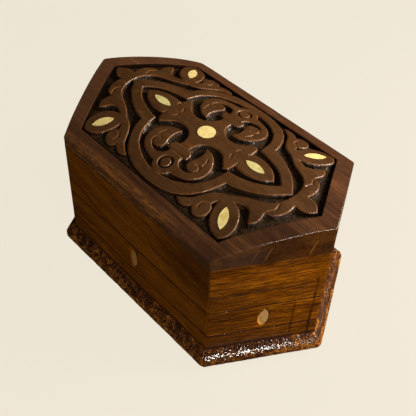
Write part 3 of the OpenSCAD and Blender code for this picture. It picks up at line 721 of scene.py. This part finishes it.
def side_wood(name, side, tones, seed=0.0, contrast=1.0, tilt=0.0, dark_streaks=(), crescent=False):
    """Varnished straight-grained wood for a side of the box, its grain falling by tilt along that side."""
    look = Look(name, Coat_Roughness=0.15, Specular_IOR_Level=0.1)
    p = look.beside(side)
    along = look.node("ShaderNodeMapping", {"Vector": p, "Rotation": (0, tilt, 0)}).outputs[0]
    broad, streaks, fibres, pores = grain(look, along, seed=seed)
    value = look.plus(look.times(broad, 0.45), look.times(streaks, 0.8 * contrast))
    value = look.plus(value, look.times(fibres, 0.8 * contrast))
    value = look.times(value, 1 / (0.45 + 1.6 * contrast), clamp=True)
    dark, mid, light, bright = tones
    colour = look.ramp(value, (0.40, dark), (0.47, mid), (0.54, light), (0.63, bright))
    pore = look.band(pores, 0.60, 0.70, 0.0, 0.5)
    colour = look.mix(pore, colour, tuple(0.5 * c for c in dark))
    x, depth, z = look.split(p)[:3]
    blot = look.noise(look.scaled(p, (0.15, 0.3, 0.12)), detail=3, rough=0.6)
    for at, width, low, high, strength in dark_streaks:
        wave = look.plus(x, look.times(look.minus(blot, 0.5), 2.0))
        off = look.distance(wave, at)
        mark = look.band(off, width * 0.3, width * 1.3, 1.0, 0.0)
        mark = look.times(mark, look.band(z, low - 2, low + 2))
        mark = look.times(mark, look.band(z, high - 3, high + 3, 1.0, 0.0))
        mark = look.times(mark, look.band(blot, 0.3, 0.55, 0.4 * strength, strength))
        colour = look.mix(mark, colour, tuple(0.5 * c for c in dark))
    if crescent:
        # Light filler showing as a crescent left of the eye
        fx = look.math("DIVIDE", look.minus(x, -0.75), (eye_hi[0] - eye_lo[0]) / 2)
        fz = look.math("DIVIDE", look.minus(z, band_z - 0.6), (eye_hi[2] - eye_lo[2]) * 0.42)
        reach = look.plus(look.times(fx, fx), look.times(fz, fz))
        mark = look.times(look.band(reach, 0.85, 1.1, 1.0, 0.0), look.band(blot, 0.35, 0.5, 0.5, 1.0))
        colour = look.mix(mark, colour, (0.85, 0.36, 0.045))
    # Painted shade towards one end: the lower left of the light sides, the upper right of the dark ones; the
    # light sides' lowest board is darker as well
    if side % 3:
        low = look.band(z, band_top_z + 12, lid_seam_z + 14, 1.0, 0.0)
        painted_shade_and_dark_foot = look.times(look.times(look.band(x, -24, 14, 1.0, 0.3), low), 0.5)
        foot = look.band(z, band_bottom_z - 0.5, band_bottom_z + 0.5, 0.35, 0.0)
        painted_shade_and_dark_foot = look.math("MAXIMUM", painted_shade_and_dark_foot, look.plus(look.times(painted_shade_and_dark_foot, 0.4), foot))
    else:
        high = look.band(z, band_top_z, lid_seam_z + 10)
        painted_shade_and_dark_foot = look.times(look.times(look.band(x, 8, 44), high), 0.5)
    colour = look.mix(painted_shade_and_dark_foot, colour, (0.004, 0.001, 0.0004))
    colour, grime_and_shade = seam_marks(look, p, colour, side == 1)
    # Raw dark wood where the sides of the boards turn inwards
    colour = look.mix(look.band(depth, 0.4, 0.9, 0.0, 0.6), colour, tuple(0.4 * c for c in dark))
    height = look.plus(look.times(fibres, 0.5), look.times(pore, -0.9))
    skin = look.noise(look.scaled(p, (0.28, 0.6, 0.6)), detail=3, rough=0.55)
    normal = look.bump(height, 0.06, 0.55)
    coat = look.bump(skin, 0.25, 0.35)
    rough = look.band(look.noise(look.scaled(p, (0.05, 0.12, 0.12)), detail=4), 0.3, 0.7, 0.4, 0.56)
    rough = look.plus(rough, look.times(grime_and_shade, 0.4))
    gloss = look.band(grime_and_shade, 0.1, 0.6, 0.08, 0.0)
    return look.set(Base_Color=colour, Normal=normal, Coat_Normal=coat, Roughness=rough, Coat_Weight=gloss)


def lid_wood():
    """Dark reddish carved plank: grain along X, sunk ground darker and rougher, edges worn; painted shade on
    the carving's walls, along the rim's inner edge and round the front right corner, and a painted highlight
    on the shoulders.
    """
    look = Look("carved_plank_wood", Coat_Roughness=0.08, Coat_IOR=1.7)
    p = look.mm()
    broad, streaks, fibres = grain(look, p, (0.55, 1.1), seed=4.0, streak_l=60)[:3]
    value = look.plus(look.times(broad, 0.8), look.times(streaks, 0.8))
    value = look.plus(value, look.times(fibres, 0.4))
    value = look.times(value, 0.5, clamp=True)
    colour = look.ramp(value, (0.37, (0.032, 0.0110, 0.0043)), (0.47, (0.060, 0.0215, 0.0083)),
                       (0.56, (0.092, 0.035, 0.0125)), (0.66, (0.19, 0.075, 0.023)))
    x, y, z = look.split(p)[:3]
    lift = look.minus(z, crown_axis_z)
    radius = look.math("SQRT", look.plus(look.times(y, y), look.times(lift, lift)))
    depth = look.minus(crown_r, radius)
    inset_y = look.minus(half_w, look.math("ABSOLUTE", y))
    slant = look.minus(look.times(look.minus(tip_x, look.math("ABSOLUTE", x)), C30),
                       look.times(look.math("ABSOLUTE", y), 0.5))
    inset = look.math("MINIMUM", inset_y, slant)
    # Relief tops are a flatter brown than the rim
    top = look.ramp(value, (0.36, (0.050, 0.0200, 0.0054)), (0.5, (0.071, 0.0285, 0.0080)),
                    (0.66, (0.102, 0.042, 0.0128)))
    on_rim = look.band(inset, rim_w - 0.4, rim_w + 0.2, 1.0, 0.0)
    # Paler towards the left end
    paler = look.times(look.band(x, -tip_x, 0, 0.3, 0.0), on_rim)
    colour = look.mix(on_rim, top, look.mix(paler, colour, (0.17, 0.075, 0.034)))
    # The plank's outer faces are the olive brown of the sides
    face = look.ramp(value, (0.38, (0.024, 0.0064, 0.0005)), (0.48, (0.046, 0.0135, 0.0008)),
                     (0.6, (0.080, 0.026, 0.0018)))
    local = look.split(look.beside(1))
    scratched = look.times(look.band(z, crown_z - 15.5, crown_z - 14),
                           look.band(z, crown_z - 8, crown_z - 6, 1, 0))
    scratched = look.times(scratched, look.band(local[1], 1, 2, 1.0, 0.0))
    for at, strength in SCRATCHES:
        lean = look.times(look.minus(z, edge_z), 0.35)
        off = look.distance(look.minus(local[0], lean), at)
        line = look.times(look.band(off, 0.12, 0.34, strength, 0.0), scratched)
        face = look.mix(line, face, (0.26, 0.095, 0.012))
    colour = look.mix(look.band(inset, 0.22, 0.5, 1.0, 0.0), colour, face)
    # Front edge worn through to orange streaks
    wear_noise = look.noise(look.scaled(p, (0.05, 0.6, 0.6)), detail=5, rough=0.65)
    speck = look.noise(look.scaled(p, (0.35, 0.9, 0.9)), detail=4, rough=0.7)
    front = look.times(look.band(y, -half_w + 5.5, -half_w + 1.5), look.band(x, 15, 45, 1.0, 0.15))
    worn_spots = look.plus(look.times(wear_noise, 0.6), look.times(speck, 0.4))
    wear = look.times(look.band(worn_spots, 0.46, 0.58), front)
    colour = look.mix(look.times(wear, 0.85), colour, (0.24, 0.085, 0.012))
    # Shoulders of the carving lighter, partly rubbed wear and partly a painted highlight, and its steep
    # walls darkened by painted shade
    shoulder = look.times(look.band(depth, 0.22, 0.32), look.band(depth, 0.5, 0.75, 1.0, 0.0))
    shoulder = look.times(shoulder, look.band(inset, rim_w - 2, rim_w - 0.7))
    colour = look.mix(look.times(shoulder, 0.55), colour, (0.22, 0.082, 0.020))
    inside = look.times(look.band(inset, rim_w - 0.4, rim_w), look.band(z, plank_z + 0.5, plank_z + 1.5))
    # Painted shade: the steep walls of the carving darkened towards near black
    wall = look.times(look.times(look.band(depth, 0.65, 0.95), inside), 0.85)
    colour = look.mix(wall, colour, (0.008, 0.0035, 0.002))
    # Painted shade round the front right corner
    corner_x, corner_y = look.minus(x, half_long + 8), look.plus(y, half_w - 14)
    away = look.math("SQRT", look.plus(look.times(corner_x, corner_x), look.times(corner_y, corner_y)))
    colour = look.mix(look.band(away, 12, 30, 0.30, 0.0), colour, (0.004, 0.002, 0.001))
    # Painted shade along the rim's inner wall and the ground at its foot, lighter towards the right-hand tip
    near_rim = look.band(look.distance(inset, rim_w + 0.25), 0.35, 0.6, 0.95, 0.0)
    wall = look.times(look.times(near_rim, look.band(x, 20, 60, 1.0, 0.7)), look.band(depth, 0.10, 0.22))
    colour = look.mix(wall, colour, (0.006, 0.003, 0.002))
    # Sunk ground
    ground = look.times(look.band(depth, 1.9, 2.4), inside)
    grit = look.noise(p, 1.3, 4, 0.7)
    ground_colour = look.ramp(grit, (0.3, (0.012, 0.0062, 0.0026)), (0.55, (0.044, 0.023, 0.0090)),
                              (0.75, (0.12, 0.070, 0.030)))
    ground_share = look.times(ground, look.band(near_rim, 0.0, 0.9, 1.0, 0.3))
    colour = look.mix(ground_share, colour, ground_colour)
    height = look.plus(look.times(fibres, 0.6), look.times(grit, 0.5))
    normal = look.bump(height, 0.09, 0.6)
    coat = look.bump(look.noise(p, 0.9, 4, 0.65), 0.35, 0.7)
    gloss = look.band(look.noise(p, 0.33, 2, 0.6), 0.46, 0.62, 0.08, 0.8)
    gloss = look.times(gloss, look.band(look.noise(p, 1.2, 2, 0.6), 0.42, 0.56, 0.25, 1.0))
    # Dull along the rim's inner edge, and along its outer edge except towards the right-hand tip
    edge = look.band(inset, 0.5, 1.6, 1.0, 0.0)
    dull = look.math("MAXIMUM", look.times(edge, look.band(local[0], -12, 0, 1.0, 0.0)), near_rim)
    broken = look.band(look.noise(look.scaled(p, (0.7, 0.7, 0)), detail=3), 0.38, 0.5)
    gloss = look.math("MAXIMUM", gloss, look.times(edge, broken))
    gloss = look.times(gloss, look.band(dull, 0.0, 0.9, 1.0, 0.0))
    rough = look.band(look.noise(look.scaled(p, (0.06, 0.2, 0.2)), detail=4), 0.3, 0.7, 0.4, 0.56)
    rough = look.plus(rough, look.plus(look.times(ground, 0.08), look.times(dull, 0.45)))
    shine = look.band(near_rim, 0.1, 0.7, 0.22, 0.01)
    return look.set(Base_Color=colour, Normal=normal, Coat_Normal=coat, Roughness=rough, Coat_Weight=gloss,
                    Specular_IOR_Level=shine)


def burl(name, side, dark_share, stretch, gloss):
    """Mottled burl under a pitted gloss varnish."""
    look = Look(name, Roughness=0.5, Coat_Roughness=0.045, Coat_IOR=1.85, Specular_IOR_Level=0.05)
    p = look.beside(side)
    q = look.warped(p, (0.05, 0.12, 0.12), 4.0)
    blotch = look.noise(look.scaled(q, (0.30 * stretch, 0.42, 0.42)), detail=5, rough=0.75, distortion=0.6)
    fleck = look.noise(look.scaled(q, (1.3 * stretch, 1.7, 1.7)), detail=3, rough=0.7, distortion=0.4)
    value = look.plus(look.times(blotch, 0.6), look.times(fleck, 0.4))
    x, _, z = look.split(p)[:3]
    # Darker and plainer towards the wall, and at the left end of the front right side
    shade = look.band(z, plinth_h * 0.6, plinth_h * 0.9, dark_share, dark_share + 0.05)
    if side == 1:
        shade = look.plus(shade, look.band(x, 0, 20, 0.0, -0.035))
    value = look.minus(value, shade)
    colour = look.ramp(value, (0.38, (0.012, 0.004, 0.003)), (0.46, (0.044, 0.015, 0.006)),
                       (0.52, (0.12, 0.040, 0.008)), (0.58, (0.34, 0.125, 0.016)),
                       (0.68, (0.60, 0.26, 0.040)))
    pits = look.noise(p, 0.75, 1, 0.5)
    normal = look.bump(fleck, 0.10, 0.6)
    coat = look.bump(pits, 0.55, 1.0)
    if side == 1:
        shine = look.band(x, 4, 20, gloss, 0.2 * gloss)
    else:
        shine = look.band(pits, 0.3, 0.5, 0.8 * gloss, gloss)
    return look.set(Base_Color=colour, Normal=normal, Coat_Normal=coat, Coat_Weight=shine)


def pearl(name, tint):
    """Mother of pearl: pale, with soft clouds of yellow and green that shimmer."""
    look = Look(name, Roughness=0.22, Coat_Weight=0.6, Coat_Roughness=0.06, IOR=1.53, Specular_IOR_Level=0.5)
    p = look.mm()
    clouds = look.noise(p, 0.22, 3, 0.55, 1.2)
    lines = look.noise(look.scaled(p, (0.5, 1.6, 1.6)), detail=2, distortion=1.5)
    colour = look.ramp(clouds, (0.32, tuple(c * f for c, f in zip(tint, (0.80, 0.76, 0.55)))),
                       (0.5, tint), (0.66, tuple(min(1, c * f) for c, f in zip(tint, (1.12, 1.12, 1.25)))))
    colour = look.mix(look.band(lines, 0.45, 0.62, 0.0, 0.25), colour, (0.52, 0.50, 0.30))
    edge = look.bump(lines, 0.04, 0.4)
    return look.set(Base_Color=colour, Normal=edge)


def eye_wood(side):
    """Pale wood of the strips' eye inlays, its grain upright and yellower in the front one."""
    look = Look("eye_wood_" + SIDES[side], Roughness=0.4, Coat_Weight=0.3, Coat_Roughness=0.2)
    p = look.beside(side)
    lines = look.noise(look.scaled(p, (1.6, 1.6, 0.18)), detail=4, rough=0.6)
    tint = (1.15, 0.90, 0.55) if side == 0 else (1, 1, 1)
    tones = [tuple(a * b for a, b in zip(tone, tint))
             for tone in ((0.26, 0.135, 0.045), (0.36, 0.20, 0.075), (0.46, 0.28, 0.115))]
    colour = look.ramp(lines, (0.33, tones[0]), (0.5, tones[1]), (0.66, tones[2]))
    return look.set(Base_Color=colour, Normal=look.bump(lines, 0.05, 0.4))


def metal(name, tones, rough):
    """Aged metal with fine scratches, dull patches and tarnish."""
    look = Look(name, Metallic=1.0)
    p = look.mm()
    patches = look.noise(p, 0.35, 4, 0.6)
    scratches = look.noise(look.scaled(p, (0.3, 6, 6)), detail=3)
    colour = look.ramp(patches, (0.35, tones[0]), (0.5, tones[1]), (0.68, tones[2]))
    wear = look.band(look.plus(look.times(patches, 0.6), look.times(scratches, 0.4)),
                     0.35, 0.65, rough + 0.14, rough - 0.08)
    return look.set(Base_Color=colour, Roughness=wear, Normal=look.bump(scratches, 0.03, 0.5))


def inner_wood():
    """Plain oiled wood of the bottom board and the hidden fittings."""
    look = Look("bottom_wood", IOR=1.45)
    p = look.mm()
    broad, streaks, fibres = grain(look, p, seed=9.0)[:3]
    value = look.plus(look.times(broad, 0.4), look.times(streaks, 0.6))
    colour = look.ramp(value, (0.35, (0.045, 0.020, 0.007)), (0.5, (0.10, 0.048, 0.016)),
                       (0.65, (0.17, 0.085, 0.03)))
    rough = look.band(fibres, 0.3, 0.7, 0.5, 0.68)
    return look.set(Base_Color=colour, Roughness=rough, Normal=look.bump(fibres, 0.08, 0.6))


def give(obj, material):
    obj.data.materials.clear()
    obj.data.materials.append(material)


# ---- Build ---------------------------------------------------------------------

DARK_SIDE = [(0.075, 0.022, 0.0003), (0.135, 0.039, 0.0004), (0.200, 0.060, 0.0008), (0.32, 0.105, 0.003)]
LIGHT_SIDE = [(0.038, 0.0105, 0.0002), (0.104, 0.0290, 0.0003), (0.210, 0.060, 0.0006), (0.47, 0.152, 0.003)]
# Burl of the plinth: how dark, how stretched along the side, and how glossy
BURL = {1: (0.012, 1.0, 1.0), 2: (-0.03, 0.3, 0.0)}
# Light scratches on the front right face of the plank: place along it and strength
SCRATCHES = [(-8.3, 0.35), (-2.2, 0.85), (18.8, 0.85)]
# Dark upright streaks on the front right side: place along it, half width, lowest and highest point,
# strength
DARK_STREAKS = [(15.0, 0.8, 14, 40, 0.6), (24.5, 0.8, 9, 58, 0.85)]

give(carved_lid(), lid_wood())
for i, side_name in enumerate(SIDES):
    tones = DARK_SIDE if i % 3 == 0 else LIGHT_SIDE
    dark_streaks = DARK_STREAKS if i == 1 else ()
    wall_tones = tones if i % 3 == 0 else [tuple(0.84 * c for c in tone) for tone in tones]
    wood = side_wood("wall_wood_" + side_name, i, wall_tones, seed=1.0 + 2.3 * i, dark_streaks=dark_streaks,
                     contrast=0.75 if i % 3 == 0 else 1.1, tilt=-0.24 if i == 0 else 0.0)
    strip_wood = side_wood("strip_wood_" + side_name, i, tones, seed=7.0 + 1.9 * i, dark_streaks=dark_streaks,
                           contrast=0.75 if i % 3 == 0 else 1.1, crescent=i == 1)
    give(softened("base_wall_" + side_name, i, "base"), wood)
    give(softened("lid_wall_" + side_name, i, "lid"), wood)
    body = {0: "front_strip", 1: "key_strip"}.get(i, "base")
    give(softened("band_" + side_name, i, body), strip_wood)
    dark_share, stretch, gloss = BURL.get(i, (-0.022, 1.0, 0.6))
    give(plinth(i), burl("burl_" + side_name, i, dark_share, stretch, gloss))
    give(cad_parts["eye_" + side_name], eye_wood(i))

cream, greenish = (0.88, 0.70, 0.27), (0.64, 0.56, 0.22)
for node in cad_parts:
    if "inlay" in node:
        give(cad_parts[node], pearl(node + "_pearl", greenish if "axis" in node else cream))
brass = metal("aged_brass", [(0.30, 0.17, 0.05), (0.58, 0.38, 0.13), (0.74, 0.54, 0.24)], 0.32)
steel = metal("aged_steel", [(0.22, 0.20, 0.18), (0.42, 0.41, 0.40), (0.58, 0.57, 0.56)], 0.34)
plain = inner_wood()
for name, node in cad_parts.items():
    if node.hide_render or "inlay" in name or name.startswith("eye_"):
        continue
    if name in ("bottom_board", "key_pocket_back"):
        give(node, plain)
    elif name in ("lock_spring", "lock_drill_pin") or name.startswith("hinge_pin"):
        give(node, steel)
    else:
        give(node, brass)

# ---- Stage ---------------------------------------------------------------------

# Half the floor's width, in metres
FLOOR = 30
floor_mesh = bpy.data.meshes.new("floor")
floor_mesh.from_pydata([(-FLOOR, -FLOOR, 0), (FLOOR, -FLOOR, 0), (FLOOR, FLOOR, 0), (-FLOOR, FLOOR, 0)],
                       [], [(0, 1, 2, 3)])
floor = bpy.data.objects.new("floor", floor_mesh)
bpy.context.scene.collection.objects.link(floor)
floor_material = bpy.data.materials.new("pale_floor")
floor_material.use_nodes = True
tree = floor_material.node_tree
glow = tree.nodes.new("ShaderNodeEmission")
glow.inputs["Color"].default_value = (0.832, 0.770, 0.648, 1)
matte = tree.nodes.new("ShaderNodeBsdfDiffuse")
matte.inputs["Color"].default_value = (0.03, 0.028, 0.025, 1)
both = tree.nodes.new("ShaderNodeAddShader")
tree.links.new(glow.outputs[0], both.inputs[0])
tree.links.new(matte.outputs[0], both.inputs[1])
tree.links.new(both.outputs[0], tree.nodes["Material Output"].inputs["Surface"])
floor_mesh.materials.append(floor_material)
floor.visible_glossy = False
floor.visible_diffuse = False

world = bpy.data.worlds.new("studio")
world.use_nodes = True
world.node_tree.nodes["Background"].inputs["Color"].default_value = (1.0, 0.97, 0.92, 1)
world.node_tree.nodes["Background"].inputs["Strength"].default_value = 0.12
world.cycles_visibility.glossy = False
bpy.context.scene.world = world
bpy.context.scene.view_settings.view_transform = "Standard"

target = Vector((0, 0, crown_z / 2)) * MM
LIGHT_COLOUR = (1, 0.93, 0.82)


def area_light(name, direction, distance, size, energy, shines=True):
    data = bpy.data.lights.new(name, "AREA")
    data.energy, data.size, data.color = energy, size, LIGHT_COLOUR
    light = bpy.data.objects.new(name, data)
    bpy.context.scene.collection.objects.link(light)
    light.location = target + Vector(direction).normalized() * distance
    light.rotation_euler = (target - light.location).to_track_quat("-Z", "Y").to_euler()
    light.visible_glossy = shines


# Name, direction from the box, distance and size in metres, power
area_light("key", (0.86, -0.30, 0.33), 0.7, 0.15, 3.5)
area_light("back", (0.62, 0.66, 0.50), 0.5, 0.25, 4.9)
area_light("fill", (-0.3, -0.9, 0.9), 1.4, 0.9, 1, shines=False)


def look_through(position, azimuth, elevation, roll, lens, shift):
    az, el, turn = (math.radians(v) for v in (azimuth, elevation, roll))
    back = Vector((math.sin(az) * math.cos(el), -math.cos(az) * math.cos(el), math.sin(el)))
    right = (-back).cross(Vector((0, 0, 1))).normalized()
    up = right.cross(-back)
    right, up = (math.cos(turn) * right + math.sin(turn) * up, math.cos(turn) * up - math.sin(turn) * right)
    data = bpy.data.cameras.new("camera")
    data.sensor_width, data.lens, data.clip_start = 36, lens, 0.01
    data.shift_x, data.shift_y = shift
    camera = bpy.data.objects.new("camera", data)
    bpy.context.scene.collection.objects.link(camera)
    rotation = Matrix((right, up, back)).transposed().to_4x4()
    camera.matrix_world = Matrix.Translation(Vector(position) * MM) @ rotation
    bpy.context.scene.camera = camera


# The camera fitted to the photo: place, azimuth, elevation, roll, focal length, shift
look_through((197.1, -195.7, 332.4), 49.23, 45.03, -0.24, 63.45, (0.0963, -0.0569))
